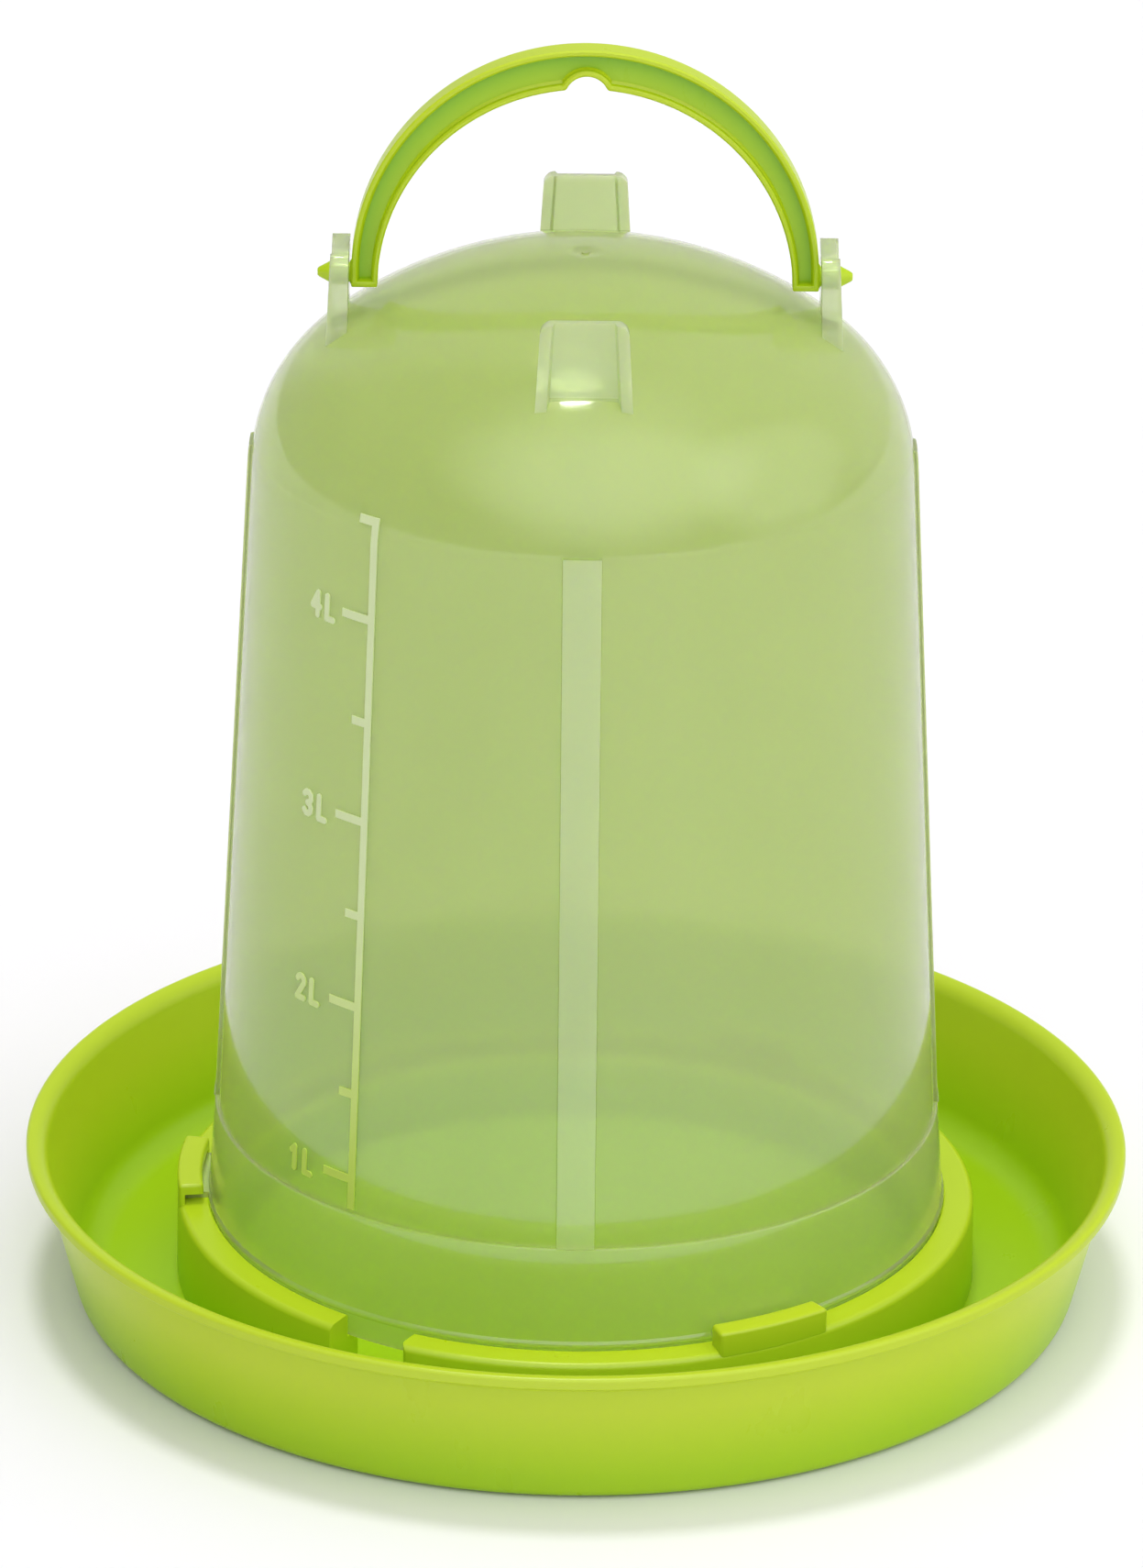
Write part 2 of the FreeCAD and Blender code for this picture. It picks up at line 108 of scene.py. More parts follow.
# Studio light by direction: (where it comes from, angle where it ends, angle where it is full, strength). In turn:
# glow along the horizon, backdrop, large front softbox, small overhead lamp, fill from the right.
STUDIO_AMBIENT = 0.33
STUDIO_LIGHTS = (
    ((0.0, 0.0, -1.0), 110.0, 96.0, 0.10),
    ((0.30, 0.85, 0.45), 60.0, 48.0, 0.28),
    ((0.12, -0.62, 0.78), 56.0, 8.0, 1.15),
    ((-0.04, 0.145, 1.0), 6.5, 5.0, 28.0),
    ((0.85, -0.20, 0.40), 36.0, 8.0, 0.9),
)


# ---------------------------------------------------------------- mesh helpers

def add_object(name, bm):
    bmesh.ops.remove_doubles(bm, verts=bm.verts, dist=1e-6)
    bmesh.ops.recalc_face_normals(bm, faces=bm.faces)
    mesh = bpy.data.meshes.new(name)
    bm.to_mesh(mesh)
    bm.free()
    piece = bpy.data.objects.new(name, mesh)
    bpy.context.scene.collection.objects.link(piece)
    return piece


def grid(bm, rows, closed):
    """Skins rows of points, each as long as the next. closed joins the last row to the first one too."""
    made = [[bm.verts.new(Vector(point) * MM) for point in row] for row in rows]
    pairs = list(zip(made, made[1:] + made[:1])) if closed else list(zip(made, made[1:]))
    for below, above in pairs:
        count = len(below)
        for i in range(count):
            j = (i + 1) % count
            bm.faces.new((below[i], below[j], above[j], above[i]))
    return made


def polar(r, azimuth, z):
    a = math.radians(azimuth)
    return r * math.cos(a), r * math.sin(a), z


def rounded(points, steps=8):
    """Outline through (a, b, fillet) points, with every fillet as a short run of points."""
    corners = [Vector((a, b)) for a, b, _ in points]
    outline = []
    for i, (corner, (_, _, fillet)) in enumerate(zip(corners, points)):
        if not fillet:
            outline.append(tuple(corner))
            continue
        back = (corners[i - 1] - corner).normalized()
        ahead = (corners[(i + 1) % len(corners)] - corner).normalized()
        half = back.angle(ahead) / 2
        centre = corner + (back + ahead).normalized() * (fillet / math.sin(half))
        start = corner + back * (fillet / math.tan(half)) - centre
        end = corner + ahead * (fillet / math.tan(half)) - centre
        turn = start.angle_signed(end)
        for k in range(steps + 1):
            outline.append(tuple(centre + Matrix.Rotation(-turn * k / steps, 2) @ start))
    return outline


def lathe(name, outline, segments=240):
    """Closed solid of revolution from (radius, height) points that start and end on the axis, or close a ring."""
    bm = bmesh.new()
    on_axis = outline[0][0] < 1e-6
    rows = [[polar(r, 360 * i / segments, z) for i in range(segments)] for r, z in outline]
    grid(bm, rows, closed=not on_axis)
    return add_object(name, bm)


def box_section(r_range, z_range):
    (inner, outer), (low, high) = r_range, z_range
    return [(inner, low), (outer, low), (outer, high), (inner, high)]


def ring_sector(name, corners, start, end, steps=24):
    """Part of a ring between two azimuths, with a section of (radius, height) corners."""
    bm = bmesh.new()
    rows = [[polar(r, start + (end - start) * i / steps, z) for r, z in corners] for i in range(steps + 1)]
    made = grid(bm, rows, closed=False)
    bm.faces.new(made[0])
    bm.faces.new(made[-1][::-1])
    return add_object(name, bm)


def prism(name, outline, z_range, azimuth=0.0):
    """Upright prism over an (x, y) outline, turned about the object's axis."""
    bm = bmesh.new()
    rows = [[(x, y, z) for x, y in outline] for z in z_range]
    made = grid(bm, rows, closed=False)
    bm.faces.new(made[0][::-1])
    bm.faces.new(made[1])
    bmesh.ops.rotate(bm, verts=bm.verts, cent=(0, 0, 0), matrix=Matrix.Rotation(math.radians(azimuth), 3, "Z"))
    return add_object(name, bm)


def cylinder_x(name, radius, x_range, z, segments=48):
    bm = bmesh.new()
    ring = [(radius * math.cos(2 * math.pi * i / segments), radius * math.sin(2 * math.pi * i / segments))
            for i in range(segments)]
    made = grid(bm, [[(x, y, z + up) for y, up in ring] for x in x_range], closed=False)
    bm.faces.new(made[0][::-1])
    bm.faces.new(made[1])
    return add_object(name, bm)


def baked(piece):
    """Replaces a piece's mesh by what its modifiers make of it."""
    graph = bpy.context.evaluated_depsgraph_get()
    mesh = bpy.data.meshes.new_from_object(piece.evaluated_get(graph))
    piece.modifiers.clear()
    old, piece.data = piece.data, mesh
    bpy.data.meshes.remove(old)
    return piece


def combine(piece, operation, tools):
    for tool in tools:
        modifier = piece.modifiers.new("combine", "BOOLEAN")
        modifier.operation, modifier.object, modifier.solver = operation, tool, "EXACT"
    baked(piece)
    for tool in tools:
        bpy.data.objects.remove(tool)
    return piece


def bevelled(piece, width, segments=3):
    modifier = piece.modifiers.new("bevel", "BEVEL")
    modifier.width, modifier.segments = width * MM, segments
    modifier.limit_method, modifier.angle_limit = "ANGLE", math.radians(40)
    return baked(piece)


def dress(tank, material):
    """Gives the flat outer faces of the four ribs, and the whole feet and ears, a slightly denser plastic."""
    tank.data.materials.append(material)
    for face in tank.data.polygons:
        x, y, z = face.center / MM
        across, out = min(abs(x), abs(y)), max(abs(x), abs(y))
        outwards = face.normal.dot(face.center) > 0
        on_rib = STEP_Z < z < RIB_TOP_Z and across < RIB_W / 2 + 0.3 and outwards and out > wall_radius(z) + RIB_H / 2
        beyond_crown = math.hypot(math.hypot(x, y), z - CROWN_CENTRE_Z) > CROWN_R + 0.2
        on_upstand = z > UPSTAND_ROOT_Z and across < FOOT_ROOT[3] + 0.5 and beyond_crown
        if on_rib or on_upstand:
            face.material_index = 1


def paint_web_shade(bail, material):
    """Gives both sides of the bail's recessed web a painted shade: deepest green next to the outer flange, a painted
    shadow under it, paler towards the inner flange.
    """
    bail.data.materials.append(material)
    for face in bail.data.polygons:
        x, y, z = face.center / MM
        on_side = abs(abs(y) - BAIL_WEB_T / 2) < 0.1 and abs(face.normal.y) > 0.9
        if on_side and z > BAIL_END_Z + BAIL_OUT_T - 0.1:
            face.material_index = 1


def wall_radius(z):
    """Radius of the tank's outer wall at a height."""
    outline = bell_outline(0)
    for (r0, z0), (r1, z1) in zip(outline, outline[1:]):
        if STEP_Z <= z0 <= z <= z1 and z1 > z0:
            return r0 + (r1 - r0) * (z - z0) / (z1 - z0)
    return WALL_FOOT_R


def clean(piece):
    """Merges the hair-fine edges and slivers that boolean cuts leave behind."""
    bm, hair = bmesh.new(), 5e-6
    bm.from_mesh(piece.data)
    bmesh.ops.remove_doubles(bm, verts=bm.verts, dist=hair)
    bmesh.ops.dissolve_degenerate(bm, edges=bm.edges, dist=hair)
    bm.to_mesh(piece.data)
    bm.free()


def finished(piece, body, material, replaced, crease=32):
    """Cleans, shades and dresses a piece, and says which body it rides on and which CAD nodes it replaces."""
    clean(piece)
    piece.data.shade_smooth()
    piece.data.set_sharp_from_angle(angle=math.radians(crease))
    piece.data.materials.clear()
    piece.data.materials.append(material)
    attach(piece, body)
    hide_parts(*replaced)
    return piece


# ---------------------------------------------------------------- tray

def bowl_outline():
    wall_r = TRAY_BASE_R - TRAY_T * math.hypot(1, TRAY_LEAN)
    return rounded([
        (0, 0, 0),
        (TRAY_BASE_R, 0, 4.0),
        (TRAY_BASE_R + TRAY_LEAN * LIP_ROOT_Z, LIP_ROOT_Z, 1.6),
        (LIP_R, LIP_EDGE_Z, 0.6),
        (LIP_R, TRAY_H, 1.1),
        (wall_r + TRAY_LEAN * TRAY_H, TRAY_H, 4.5),
        (wall_r + TRAY_LEAN * TRAY_T, TRAY_T, 9.0),
        (0, TRAY_T, 0)])


def collar_outline():
    sunk = TRAY_T / 2
    return rounded([
        (COLLAR_IN_R, sunk, 0),
        (COLLAR_OUT_R, sunk, 0),
        (COLLAR_OUT_R - COLLAR_DRAFT, COLLAR_TOP_Z, 1.8),
        (COLLAR_SEAT_R, COLLAR_TOP_Z, 0.5),
        (COLLAR_SEAT_R, COLLAR_LEDGE_Z, 0),
        (COLLAR_IN_R, COLLAR_LEDGE_Z, 0.5)])


def outlet_half_width():
    return COLLAR_OUT_R * math.sin(math.radians(OUTLET_END - OUTLET_START) / 2)


def outlet_cutter():
    """Cutter for the outlet gap, which widens towards the trough."""
    half = outlet_half_width()
    mouth = math.sqrt(COLLAR_OUT_R ** 2 - half ** 2)
    flare_r = mouth - OUTLET_FLARE * half / COLLAR_OUT_R
    side = half + OUTLET_FLARE * mouth / COLLAR_OUT_R
    outline = rounded([
        (COLLAR_IN_R / 2, -half, 0), (mouth, -half, 1.2), (flare_r, -side, 0), (LIP_R, -side, 0),
        (LIP_R, side, 0), (flare_r, side, 0), (mouth, half, 3.0), (COLLAR_IN_R / 2, half, 0)])
    return prism("outlet", outline, (0, TRAY_H), (OUTLET_START + OUTLET_END) / 2)


def collar_groove():
    """Cutter for the hollow under the collar, as on the CAD part."""
    gap = math.degrees(math.asin((outlet_half_width() + TRAY_T) / COLLAR_IN_R))
    middle = (OUTLET_START + OUTLET_END) / 2
    inner, step, outer = COLLAR_IN_R + TRAY_T, COLLAR_SEAT_R + TRAY_T, COLLAR_OUT_R - COLLAR_DRAFT - TRAY_T
    section = [(inner, -1), (outer, -1), (outer, COLLAR_TOP_Z - TRAY_T), (step, COLLAR_TOP_Z - TRAY_T),
               (step, COLLAR_LEDGE_Z - TRAY_T), (inner, COLLAR_LEDGE_Z - TRAY_T)]
    return ring_sector("groove", section, middle + gap, middle + 360 - gap, 192)


def catch(centre):
    """Bayonet catch on the collar, with the pocket under its roof open to the inside and to one end."""
    start, end = centre - CATCH_SPAN / 2, centre + CATCH_SPAN / 2
    section = box_section((CATCH_IN_R, CATCH_OUT_R), (COLLAR_TOP_Z - CATCH_SUNK, CATCH_TOP_Z))
    block = bevelled(ring_sector("catch", section, start, end), CATCH_ROUND, 4)
    end_wall = math.degrees(CATCH_SIDE / CATCH_OUT_R) * CATCH_END
    hollow = box_section((CATCH_IN_R - 2, CATCH_OUT_R - CATCH_SIDE), (COLLAR_TOP_Z + 0.01, CATCH_TOP_Z - CATCH_ROOF))
    pocket = ring_sector("pocket", hollow, start + end_wall, end + 2)
    return combine(block, "DIFFERENCE", [pocket])


def make_tray():
    tray = lathe("tray", bowl_outline())
    collar = combine(lathe("collar", collar_outline()), "DIFFERENCE", [outlet_cutter()])
    combine(tray, "UNION", [collar] + [catch(centre) for centre in CATCH_CENTRES])
    return combine(tray, "DIFFERENCE", [collar_groove()])


# ---------------------------------------------------------------- tank

def tangent_angle(point, centre, radius):
    """Angle on a circle where the line from a point below touches its right-hand side."""
    dr, dz = point[0] - centre[0], point[1] - centre[1]
    return math.atan2(dz, dr) + math.acos(radius / math.hypot(dr, dz))


def bell_outline(offset):
    """(radius, height) points of the tank's surface moved outwards by the offset, from the skirt to the apex."""
    foot = (WALL_FOOT_R + offset, STEP_Z)
    touch = tangent_angle(foot, SHOULDER_CENTRE, SHOULDER_R + offset)
    rise = SHOULDER_CENTRE[1] - CROWN_CENTRE_Z
    blend = math.atan2(rise, SHOULDER_CENTRE[0])
    outline = [(SKIRT_R + offset, SKIRT_BOTTOM_Z), (SKIRT_R + offset, BEAD_Z[0])]
    if offset == 0:
        outline += [(SKIRT_R + BEAD_H * math.sin(math.pi * i / 6), BEAD_Z[0] + (BEAD_Z[1] - BEAD_Z[0]) * i / 6)
                    for i in range(1, 6)]
    outline += [(SKIRT_R + offset, BEAD_Z[1])]
    outline += [(STEP_R + offset - STEP_EDGE * (1 - math.cos(a)), STEP_Z - STEP_EDGE * (1 - math.sin(a)))
                for a in (0.0, math.pi / 6, math.pi / 3, math.pi / 2)] + [foot]
    arcs = ((SHOULDER_CENTRE, SHOULDER_R + offset, touch, blend, 22),
            ((0, CROWN_CENTRE_Z), CROWN_R + offset, blend, math.pi / 2, 22))
    for (r, z), radius, start, end, steps in arcs:
        for i in range(steps + 1):
            a = start + (end - start) * i / steps
            outline.append((max(r + radius * math.cos(a), 0.0), z + radius * math.sin(a)))
    return outline


def dimpled(outline):
    """Sinks the moulding gate's dimple into the crown, with the nub left by the gate at its centre."""
    apex = outline[-1][1]
    kept = [p for p in outline if p[0] > DIMPLE_R + 0.5]
    for i in range(9):
        r = DIMPLE_R * (1 - i / 10)
        drop = DIMPLE_DEPTH * 0.5 * (1 + math.cos(math.pi * r / DIMPLE_R))
        kept.append((r, apex - r * r / (2 * CROWN_R) - drop))
    floor = apex - DIMPLE_DEPTH
    nub = [(NUB_R, floor), (NUB_R * 0.9, floor + NUB_H * 0.8), (NUB_R * 0.6, floor + NUB_H), (0, floor + NUB_H)]
    return kept + nub


def ribbed_radius(r, z, azimuth):
    """Radius with the four flat ribs added: azimuth is measured from the nearest rib."""
    if not STEP_Z - 1e-6 <= z <= RIB_TOP_Z + 1e-6:
        return r
    across = abs(r * math.sin(math.radians(azimuth)))
    height = min(1.0, max(0.0, (RIB_W / 2 + RIB_EDGE - across) / RIB_EDGE))
    return r + RIB_H * height


def outer_bell():
    """Outer surface as one grid whose columns run along the ribs' edges, closed by a flat bottom."""
    outline = dimpled(bell_outline(0))
    below = [p for p in outline if p[1] < RIB_TOP_Z]
    above = [p for p in outline if p[1] >= RIB_TOP_Z]
    (r0, z0), (r1, z1) = below[-1], above[0]
    rib_end = r0 + (r1 - r0) * (RIB_TOP_Z - z0) / (z1 - z0)
    half, between = RIB_W / 2, 44
    rows = []

    def row(r, z, ribs):
        points = []
        for quadrant in range(4):
            near = [math.degrees(math.asin(across / r)) if r > RIB_W else 3.0 * across / half
                    for across in (0.0, half / 2, half, half + RIB_EDGE)]
            columns = near + [near[-1] + (90 - 2 * near[-1]) * i / between for i in range(1, between + 1)]
            columns += [90 - a for a in near[2:0:-1]]
            for a in columns:
                from_rib = min(a, 90 - a)
                radius = ribbed_radius(r, z, from_rib) if ribs else r
                points.append(polar(radius, 90 * quadrant + a, z))
        rows.append(points)

    for r, z in below:
        row(r, z, ribs=z > STEP_Z - 1e-6 and r < STEP_R - 1e-3)
    row(rib_end, RIB_TOP_Z - RIB_EDGE, ribs=True)
    for r, z in [(rib_end, RIB_TOP_Z)] + above[:-1]:
        row(r, z, ribs=False)
    bm = bmesh.new()
    made = grid(bm, rows, closed=False)
    bm.faces.new(made[0][::-1])
    apex = bm.verts.new(Vector((0, 0, outline[-1][1])) * MM)
    last = made[-1]
    for i in range(len(last)):
        bm.faces.new((last[i], last[(i + 1) % len(last)], apex))
    return add_object("tank", bm)


def upstand(name, azimuth, top, root):
    """Channel-shaped tab with rounded top corners, open side outwards."""
    heights = [UPSTAND_ROOT_Z + (UPSTAND_TOP_Z - UPSTAND_CORNER - UPSTAND_ROOT_Z) * i / 6 for i in range(7)]
    turns = [math.pi / 2 * i / 6 for i in range(1, 7)]
    heights += [UPSTAND_TOP_Z - UPSTAND_CORNER * (1 - math.sin(a)) for a in turns]
    bm, rows = bmesh.new(), []
    for z in heights:
        share = (z - UPSTAND_ROOT_Z) / (UPSTAND_TOP_Z - UPSTAND_ROOT_Z)
        inner, web, flange, half = (a + (b - a) * share for a, b in zip(root, top))
        sunk = max(0.0, z - (UPSTAND_TOP_Z - UPSTAND_CORNER))
        side = half - UPSTAND_CORNER + math.sqrt(max(UPSTAND_CORNER ** 2 - sunk ** 2, 0)) if sunk else half
        step = half - FLANGE_T
        rows.append([(inner, -side, z), (flange, -side, z), (flange, -step, z), (web, -step + FLANGE_LEAN, z),
                     (web, step - FLANGE_LEAN, z), (flange, step, z), (flange, side, z), (inner, side, z)])
    made = grid(bm, rows, closed=False)
    bm.faces.new(made[0][::-1])
    bm.faces.new(made[-1])
    bmesh.ops.rotate(bm, verts=bm.verts, cent=(0, 0, 0), matrix=Matrix.Rotation(math.radians(azimuth), 3, "Z"))
    return bevelled(add_object(name, bm), UPSTAND_ROUND, 2)


def ear(azimuth):
    """Upstand with the bore for the bail's pin."""
    side = math.cos(math.radians(azimuth))
    bore = cylinder_x("bore", BORE_R, sorted((side * 50, side * 70)), PIVOT_Z)
    return combine(upstand("ear", azimuth, EAR_TOP, EAR_ROOT), "DIFFERENCE", [bore])


def make_tank():
    lugs = [ring_sector("lug", box_section((SKIRT_R - 1, LUG_OUT_R), LUG_Z), centre - LUG_SPAN / 2,
                        centre + LUG_SPAN / 2) for centre in CATCH_CENTRES]
    feet = [upstand("foot", azimuth, FOOT_TOP, FOOT_ROOT) for azimuth in (90, 270)]
    tank = combine(outer_bell(), "UNION", feet + [ear(0), ear(180)] + lugs)
    inside = [(0, SKIRT_BOTTOM_Z - 5), (SKIRT_R - TANK_T, SKIRT_BOTTOM_Z - 5)] + bell_outline(-TANK_T)
    return combine(tank, "DIFFERENCE", [lathe("inside", inside, 192)])


# ---------------------------------------------------------------- bail

def bail_curve(radius, centre_z, notch, angle):
    """Point of an arch curve that follows the hook notch under the top. 0 is the top, 90 the end of an arc."""
    a = math.radians(angle)
    x, z = radius * math.sin(a), centre_z + radius * math.cos(a)
    if notch and abs(x) < notch:
        z = max(z, NOTCH_Z + math.sqrt(notch ** 2 - x ** 2))
    return x, z


def bail_angles():
    """Stations along the arch: fine ones round the notch, coarse ones down to just above the end blocks."""
    fine = [i * NOTCH_STEP for i in range(-14, 15)]
    coarse = [NOTCH_END + i * (90 - NOTCH_END) / ARCH_STATIONS for i in range(1, ARCH_STATIONS)]
    return [-a for a in coarse[::-1]] + fine + coarse


def make_bail():
    """I-section swept along the arch: for each station one ring of points round the section."""
    half, web, edge = BAIL_W / 2, BAIL_WEB_T / 2, BAIL_ROUND
    rows = []

    def ring(out, out_in, in_out, inner):
        def mix(a, b, share):
            return a[0] + (b[0] - a[0]) * share, a[1] + (b[1] - a[1]) * share
        lip_o, lip_i = edge / BAIL_OUT_T, edge / BAIL_IN_T
        section = [
            (out, -half + edge), (mix(out, out_in, lip_o), -half), (mix(out, out_in, 1 - lip_o), -half),
            (out_in, -half + edge), (out_in, -web - 0.5), (mix(out_in, in_out, 0.1), -web),
            (mix(out_in, in_out, 0.9), -web), (in_out, -web - 0.5), (in_out, -half + edge),
            (mix(inner, in_out, 1 - lip_i), -half), (mix(inner, in_out, lip_i), -half), (inner, -half + edge)]
        section += [(point, -y) for point, y in section[::-1]]
        return [(x, y, z) for (x, z), y in section]

    curves = ((BAIL_OUT_R, BAIL_OUT_Z, 0), (BAIL_OUT_R - BAIL_OUT_T, BAIL_OUT_Z, 0),
              (BAIL_IN_R + BAIL_IN_T, BAIL_IN_Z, NOTCH_R + BAIL_IN_T), (BAIL_IN_R, BAIL_IN_Z, NOTCH_R))
    end_top = BAIL_END_Z + BAIL_OUT_T
    for angle in bail_angles():
        rows.append(ring(*(bail_curve(*curve, angle) for curve in curves)))
    feet = [ring(*((side * radius, end_top - 0.3) for radius, _, _ in curves)) for side in (-1, 1)]
    bm = bmesh.new()
    made = grid(bm, [feet[0]] + rows + [feet[1]], closed=False)
    bm.faces.new(made[0][::-1])
    bm.faces.new(made[-1])
    bail = add_object("bail", bm)
    ends = []
    for side in (-1, 1):
        span = sorted((side * BAIL_IN_R, side * BAIL_OUT_R))
        bm = bmesh.new()
        outline = [(span[0], -half), (span[1], -half), (span[1], half), (span[0], half)]
        made = grid(bm, [[(x, y, z) for x, y in outline] for z in (BAIL_END_Z, end_top)], closed=False)
        bm.faces.new(made[0][::-1])
        bm.faces.new(made[1])
        ends.append(bevelled(add_object("end", bm), edge, 2))
        ends.append(pin(side))
    return combine(bail, "UNION", ends)


def pin(side):
    """Snap pin: stub, shaft through the ear, and a cone head outside it, turned from (distance, radius) points."""
    low, tip = reach("bail_pin_right", 0, 0), reach("bail_pin_right", 0, 1)
    profile = [(low - 1.2, 0.0), (low - 1.2, 2.3), (low, 3.0), (low + 0.3, 2.55), (55.5, 2.5), (55.55, 2.33),
               (59.8, 2.33), (59.8, 2.6), (59.95, 2.7), (tip - 0.35, 1.15), (tip, 0.8), (tip, 0.0)]
    bm, segments = bmesh.new(), 48
    rows = [[(side * x, r * math.cos(2 * math.pi * i / segments), PIVOT_Z + r * math.sin(2 * math.pi * i / segments))
             for i in range(segments)] for x, r in profile]
    grid(bm, rows, closed=False)
    return add_object("pin", bm)


# ---------------------------------------------------------------- materials

def srgb(r, g, b):
    return [((c / 255 + 0.055) / 1.055) ** 2.4 if c > 10 else c / 255 / 12.92 for c in (r, g, b)] + [1.0]


class Nodes:
    """Small helper that adds and links shader nodes of one material."""

    def __init__(self, name):
        self.material = bpy.data.materials.new(name)
        self.material.use_nodes = True
        self.tree = self.material.node_tree
        self.shader = self.tree.nodes["Principled BSDF"]
        self.place = self.add("ShaderNodeTexCoord").outputs["Object"]

    def add(self, kind, **settings):
        node = self.tree.nodes.new(kind)
        for name, value in settings.items():
            setattr(node, name, value)
        return node

    def link(self, source, target):
        self.tree.links.new(source, target)

    def noise(self, scale, detail=3.0, stretch=(1, 1, 1)):
        mapping = self.add("ShaderNodeMapping")
        mapping.inputs["Scale"].default_value = stretch
        self.link(self.place, mapping.inputs["Vector"])
        node = self.add("ShaderNodeTexNoise")
        node.inputs["Scale"].default_value = scale
        node.inputs["Detail"].default_value = detail
        self.link(mapping.outputs["Vector"], node.inputs["Vector"])
        return node.outputs["Fac"]

    def blend(self, factor, low, high, start=0.35, end=0.65):
        ramp = self.add("ShaderNodeValToRGB")
        ramp.color_ramp.elements[0].position, ramp.color_ramp.elements[0].color = start, low
        ramp.color_ramp.elements[1].position, ramp.color_ramp.elements[1].color = end, high
        self.link(factor, ramp.inputs["Fac"])
        return ramp.outputs["Color"]

    def spread(self, factor, low, high, full=1.0):
        node = self.add("ShaderNodeMapRange")
        node.inputs["From Max"].default_value = full
        node.inputs["To Min"].default_value, node.inputs["To Max"].default_value = low, high
        self.link(factor, node.inputs["Value"])
        return node.outputs["Result"]

    def bump(self, factor, distance, strength=1.0):
        node = self.add("ShaderNodeBump")
        node.inputs["Distance"].default_value = distance
        node.inputs["Strength"].default_value = strength
        self.link(factor, node.inputs["Height"])
        self.link(node.outputs["Normal"], self.shader.inputs["Normal"])

    def window(self, value, start, end):
        """0 to 1 while the value runs from start to end."""
        share = self.add("ShaderNodeMapRange")
        share.inputs["From Min"].default_value, share.inputs["From Max"].default_value = start, end
        self.link(value, share.inputs["Value"])
        return share.outputs["Result"]

    def height(self):
        split = self.add("ShaderNodeSeparateXYZ")
        self.link(self.place, split.inputs["Vector"])
        return split.outputs["Z"]

    def arch_radius(self):
        """Distance from the line through the middle of the bail's arch."""
        flat = self.add("ShaderNodeMapping")
        flat.inputs["Location"].default_value = (0, 0, -(BAIL_IN_Z + BAIL_OUT_Z) / 2 * MM)
        flat.inputs["Scale"].default_value = (1, 0, 1)
        self.link(self.place, flat.inputs["Vector"])
        distance = self.add("ShaderNodeVectorMath", operation="LENGTH")
        self.link(flat.outputs["Vector"], distance.inputs[0])
        return distance.outputs["Value"]

    def mottled(self, share):
        """Adds soft flow marks to a 0 to 1 value."""
        total = self.add("ShaderNodeMath", operation="MULTIPLY_ADD")
        total.inputs[1].default_value = 0.3
        self.link(self.noise(9, 2.0), total.inputs[0])
        self.link(self.spread(share, 0.0, 0.7), total.inputs[2])
        return total.outputs["Value"]

    def gloss_when_faced(self, weight, gone):
        """Clear gloss that fades out where the surface is seen at a slant; gone is 0 for square on, 1 for edge on."""
        facing = self.add("ShaderNodeLayerWeight")
        facing.inputs["Blend"].default_value = 0.5
        self.link(self.spread(facing.outputs["Facing"], weight, 0.0, gone), self.shader.inputs["Coat Weight"])


def lime_plastic(name, deep, pale, measure, start, end):
    """Glossy injection-moulded polypropylene with soft flow marks and faint grain. Its colour runs from deep to pale
    while the measure, a method of Nodes, runs from start to end; that run is painted shade and painted light."""
    n = Nodes(name)
    share = n.mottled(n.window(measure(n), start, end))
    n.link(n.blend(share, deep, pale, 0.0, 1.0), n.shader.inputs["Base Color"])
    n.link(n.spread(n.noise(60, 6.0, (1, 1, 0.4)), 0.24, 0.34), n.shader.inputs["Roughness"])
    n.bump(n.noise(900, 2.0), 0.00002, 0.25)
    n.shader.inputs["Specular IOR Level"].default_value = 0.15
    n.gloss_when_faced(1.0, 0.55)
    n.shader.inputs["Coat Roughness"].default_value = 0.35
    n.shader.inputs["IOR"].default_value = 1.5
    return n.material


def mark_plastic(name, low, high):
    """Raised marks of the scale, paler than the wall, with painted green light from the lime tray towards its foot.
    """
    n = Nodes(name)
    n.link(n.blend(n.window(n.height(), 0.06, 0.13), low, high, 0.0, 1.0), n.shader.inputs["Base Color"])
    n.link(n.spread(n.noise(300, 3.0), 0.3, 0.42), n.shader.inputs["Roughness"])
    n.bump(n.noise(1400, 2.0), 0.00002, 0.6)
    n.shader.inputs["Specular IOR Level"].default_value = 0.3
    return n.material


def milky_plastic(name, shade, light, clearness):
    """Translucent polyethylene: scatters and blurs what is behind it, under a glossy skin."""
    n = Nodes(name)
    n.link(n.blend(n.noise(14, 3.0, (1, 1, 0.25)), shade, light, 0.3, 0.7), n.shader.inputs["Base Color"])
    n.link(n.spread(n.noise(80, 4.0), 0.09, 0.13), n.shader.inputs["Roughness"])
    n.bump(n.noise(35, 2.0, (1, 1, 0.5)), 0.0002, 0.25)
    n.shader.inputs["Transmission Weight"].default_value = clearness
    n.shader.inputs["Subsurface Weight"].default_value = 1.0
    n.shader.inputs["Subsurface Radius"].default_value = (1.0, 1.2, 0.5)
    n.shader.inputs["Subsurface Scale"].default_value = 0.004
    n.shader.inputs["IOR"].default_value = 1.3
    n.gloss_when_faced(1.0, 0.9)
    n.shader.inputs["Coat IOR"].default_value = 1.65
    n.shader.inputs["Specular IOR Level"].default_value = 0.2
    n.shader.inputs["Coat Roughness"].default_value = 0.06
    lamp_light = n.add("ShaderNodeBsdfTransparent")
    lamp_light.inputs["Color"].default_value = (1.0, 1.0, 0.84, 1)
    mix = n.add("ShaderNodeMixShader")
    n.link(n.add("ShaderNodeLightPath").outputs["Is Shadow Ray"], mix.inputs["Fac"])
    n.link(n.shader.outputs["BSDF"], mix.inputs[1])
    n.link(lamp_light.outputs["BSDF"], mix.inputs[2])
    n.link(mix.outputs["Shader"], n.tree.nodes["Material Output"].inputs["Surface"])
    return n.material


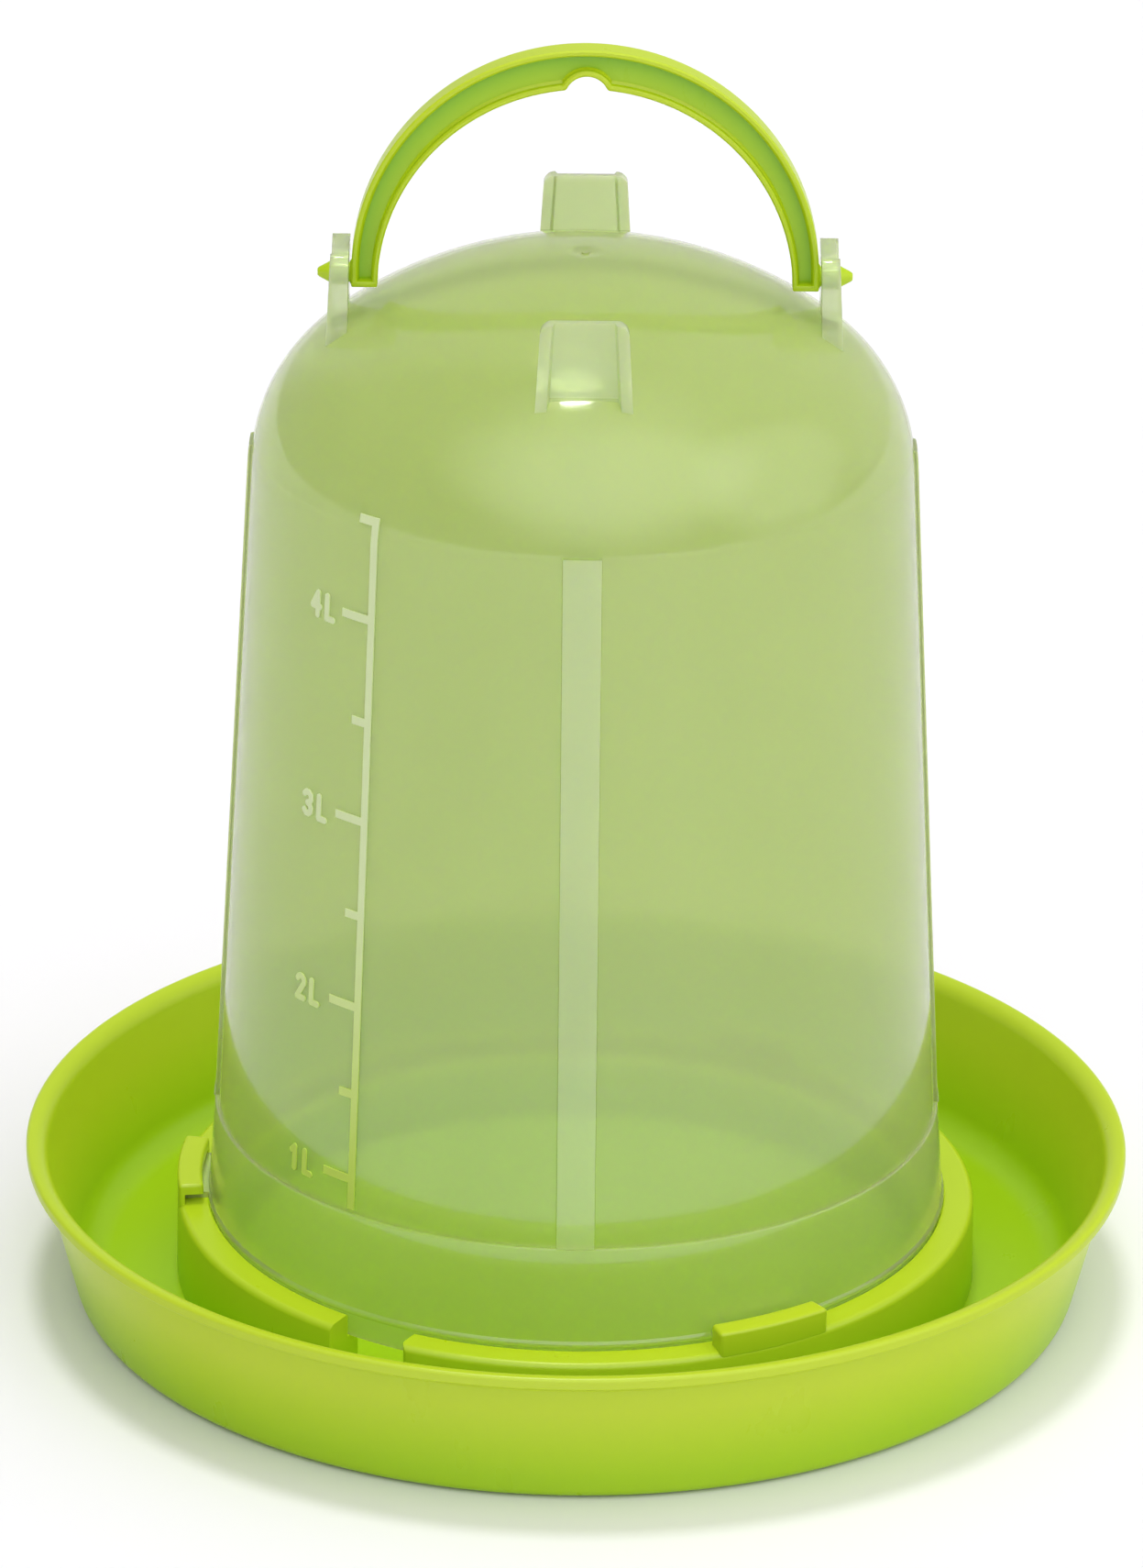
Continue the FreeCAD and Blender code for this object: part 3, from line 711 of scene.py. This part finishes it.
def studio_floor():
    n = Nodes("studio_floor")
    n.shader.inputs["Base Color"].default_value = (0.92, 0.905, 0.95, 1)
    n.shader.inputs["Roughness"].default_value = 0.9
    return n.material


# ---------------------------------------------------------------- stage, light, camera

def make_stage():
    bm = bmesh.new()
    bmesh.ops.create_grid(bm, x_segments=1, y_segments=1, size=6.0)
    floor = add_object("studio_floor", bm)
    floor.location.z = -0.0002
    floor.data.materials.append(studio_floor())


def make_world():
    """Soft studio: an even white room with the lights of STUDIO_LIGHTS as bright round patches in it."""
    world = bpy.data.worlds.new("studio")
    world.use_nodes = True
    tree = world.node_tree
    place = tree.nodes.new("ShaderNodeTexCoord").outputs["Generated"]
    total = None
    for direction, outer, inner, strength in STUDIO_LIGHTS:
        dot = tree.nodes.new("ShaderNodeVectorMath")
        dot.operation = "DOT_PRODUCT"
        dot.inputs[1].default_value = Vector(direction).normalized()
        tree.links.new(place, dot.inputs[0])
        lobe = tree.nodes.new("ShaderNodeMapRange")
        lobe.interpolation_type = "SMOOTHSTEP"
        lobe.inputs["From Min"].default_value = math.cos(math.radians(outer))
        lobe.inputs["From Max"].default_value = math.cos(math.radians(inner))
        lobe.inputs["To Max"].default_value = strength
        tree.links.new(dot.outputs["Value"], lobe.inputs["Value"])
        add = tree.nodes.new("ShaderNodeMath")
        add.inputs[0].default_value = STUDIO_AMBIENT
        if total is not None:
            tree.links.new(total, add.inputs[0])
        tree.links.new(lobe.outputs["Result"], add.inputs[1])
        total = add.outputs["Value"]
    tree.nodes["Background"].inputs["Color"].default_value = (1, 1, 1, 1)
    tree.links.new(total, tree.nodes["Background"].inputs["Strength"])
    bpy.context.scene.world = world


def make_camera():
    data = bpy.data.cameras.new("camera")
    data.lens, data.sensor_width, data.clip_end = CAMERA_LENS, CAMERA_SENSOR, 30
    camera = bpy.data.objects.new("camera", data)
    c, s = math.cos(CAMERA_ELEVATION), math.sin(CAMERA_ELEVATION)
    aim = Vector(CAMERA_AIM) * MM
    away = Vector((0, -c, s))
    right, up = Vector((1, 0, 0)), Vector((0, s, c))
    x_axis = right * math.cos(CAMERA_ROLL) + up * math.sin(CAMERA_ROLL)
    y_axis = up * math.cos(CAMERA_ROLL) - right * math.sin(CAMERA_ROLL)
    turn = Matrix((x_axis, y_axis, away)).transposed().to_4x4()
    camera.matrix_world = Matrix.Translation(aim + away * CAMERA_DISTANCE * MM) @ turn
    bpy.context.scene.collection.objects.link(camera)
    bpy.context.scene.camera = camera


# ---------------------------------------------------------------- assembly

bodies = frame["record"]["behaviour"]["bodies"]
# Tray colour: painted shade, deeper green towards the trough floor, paler and yellower towards the lip where more
# light falls.
lime = lime_plastic("lime_plastic", srgb(160, 204, 14), srgb(190, 209, 40), Nodes.height, 0.006, 0.026)
# Bail colour: painted light, paler towards the top of the arch.
bail_lime = lime_plastic("bail_plastic", srgb(178, 208, 14), srgb(194, 215, 26), Nodes.height, 0.26, 0.31)
# Web colour: painted shade, deepest next to the outer flange as a painted shadow under it, paler towards the inner
# flange.
web_shade = lime_plastic("bail_web_painted_shade", srgb(128, 190, 6), srgb(180, 212, 14), Nodes.arch_radius, 0.0545, 0.0495)
milky = milky_plastic("milky_plastic", srgb(204, 218, 150), srgb(209, 222, 158), 0.72)
dense = milky_plastic("milky_plastic_dense", srgb(214, 225, 180), srgb(219, 229, 188), 0.6)
frost = mark_plastic("frosted_marks", srgb(196, 218, 96), srgb(212, 226, 172))

finished(make_tray(), "tray", lime, bodies["tray"])
bail = finished(make_bail(), "bail", bail_lime, bodies["bail"])
paint_web_shade(bail, web_shade)
scale_nodes = [name for name in bodies["tank"] if name.startswith("scale")]
tank = finished(make_tank(), "tank", milky, [n for n in bodies["tank"] if n not in scale_nodes])
dress(tank, dense)
for name in scale_nodes:
    cad = frame["nodes"][name]
    cad.data.materials.clear()
    cad.data.materials.append(frost)

make_stage()
make_world()
make_camera()
bpy.context.scene.view_settings.view_transform = "Standard"
